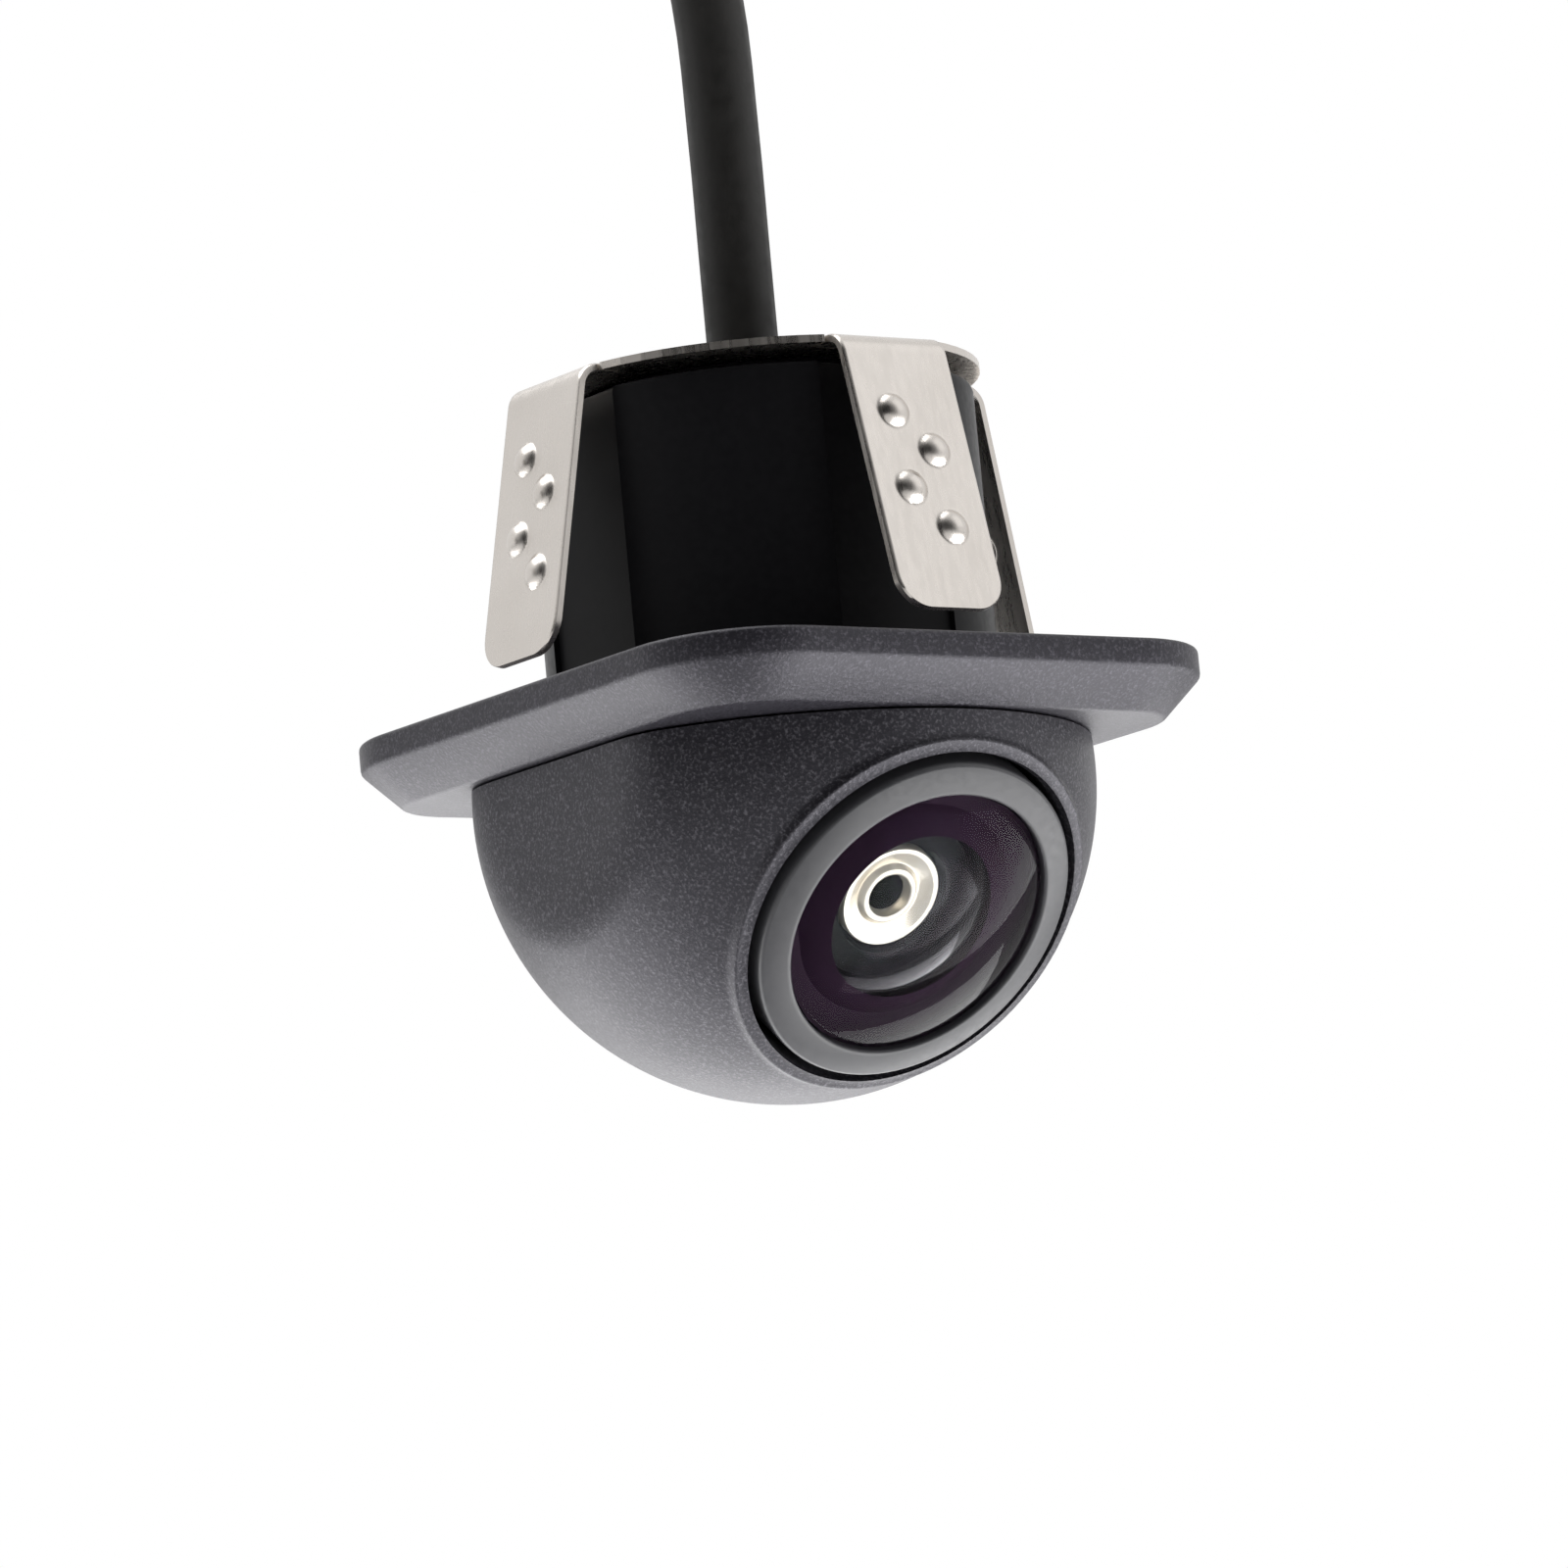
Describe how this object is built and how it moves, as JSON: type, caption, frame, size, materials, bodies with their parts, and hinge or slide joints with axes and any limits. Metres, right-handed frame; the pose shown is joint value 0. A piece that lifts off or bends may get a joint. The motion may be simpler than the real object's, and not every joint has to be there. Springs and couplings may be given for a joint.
{
  "type": "backup camera",
  "caption": "Flush-mount backup camera with a bevelled flange, domed nose, angled wide lens, spring clip, pigtail cable and screw-collar plug.",
  "frame": {"origin": "on the barrel's axis, in the plane of the flange's seat, which rests on the panel's outer face", "axes": "+Z along the barrel away from the dome, into the panel; the lens looks along -Y and 40 degrees down"},
  "size_m": [0.1118, 0.0464, 0.0769],
  "materials": {
    "housing_plastic": "fine spark texture",
    "dome_plastic": "fine spark texture",
    "bezel_satin": "smooth satin",
    "lens_glass": "coated, polished",
    "filter_glass": "polished",
    "lens_black": "black anodised",
    "spring_steel": "rolled, satin",
    "contact_gold": "plated",
    "rubber": "matte",
    "seal_rubber": "matte",
    "cable_jacket": "matte PVC",
    "circuit_board": "solder mask",
    "chip_black": "moulded epoxy",
    "connector_plastic": "moulded",
    "wire_red": "insulation",
    "wire_black": "insulation",
    "wire_yellow": "insulation",
    "wire_white": "insulation"
  },
  "bodies": {
    "camera": {"housing": "housing_plastic", "dome_shell": "dome_plastic", "dome_seal": "rubber", "bezel": "bezel_satin", "front_glass": "lens_glass", "lens_seal": "rubber", "lens_barrel": "lens_black", "inner_lens": "lens_glass", "inner_ring": "contact_gold", "aperture_stop": "lens_black", "rear_lens": "lens_glass", "lens_holder": "housing_plastic", "ir_filter": "filter_glass", "image_sensor": "chip_black", "sensor_board": "circuit_board", "sensor_screw_1": "spring_steel", "sensor_screw_2": "spring_steel", "processor_board": "circuit_board", "processor": "chip_black", "crystal": "spring_steel", "capacitor": "spring_steel", "board_connector": "connector_plastic", "cable_bushing": "rubber", "cable_core": "rubber", "wire_1": "wire_red", "wire_2": "wire_black", "wire_3": "wire_yellow", "wire_4": "wire_white", "clip_plate": "spring_steel", "clip_screw_1": "spring_steel", "clip_screw_2": "spring_steel", "cable": "cable_jacket", "cable_tail": "cable_jacket", "cable_coil": "cable_jacket", "coil_tie": "rubber", "plug_relief": "rubber", "plug_body": "housing_plastic", "plug_seal": "seal_rubber", "plug_insert": "connector_plastic", "plug_pin_1": "contact_gold", "plug_pin_2": "contact_gold", "plug_pin_3": "contact_gold", "plug_pin_4": "contact_gold"},
    "leg_front": {"leg_front": "spring_steel"},
    "leg_right": {"leg_right": "spring_steel"},
    "leg_back": {"leg_back": "spring_steel"},
    "leg_left": {"leg_left": "spring_steel"},
    "coupling_nut": {"plug_nut": "spring_steel"}
  },
  "joints": [
    {"name": "leg_front_flex", "type": "hinge", "parent": "camera", "child": "leg_front", "pos_m": [0, -0.0094, 0.01468], "axis": [1, 0, 0], "range_deg": [-2, 13], "stiffness_Nm_per_rad": 0.4},
    {"name": "leg_right_flex", "type": "hinge", "parent": "camera", "child": "leg_right", "pos_m": [0.0094, 0, 0.01468], "axis": [0, 1, 0], "range_deg": [-2, 9], "stiffness_Nm_per_rad": 0.4},
    {"name": "leg_back_flex", "type": "hinge", "parent": "camera", "child": "leg_back", "pos_m": [0, 0.0094, 0.01468], "axis": [-1, 0, 0], "range_deg": [-2, 13], "stiffness_Nm_per_rad": 0.4},
    {"name": "leg_left_flex", "type": "hinge", "parent": "camera", "child": "leg_left", "pos_m": [-0.0094, 0, 0.01468], "axis": [0, -1, 0], "range_deg": [-2, 13], "stiffness_Nm_per_rad": 0.4},
    {"name": "coupling_nut_spin", "type": "hinge", "parent": "camera", "child": "coupling_nut", "pos_m": [-0.0531, 0.00815, 0.0173], "axis": [1, 0, 0], "continuous": true}
  ]
}
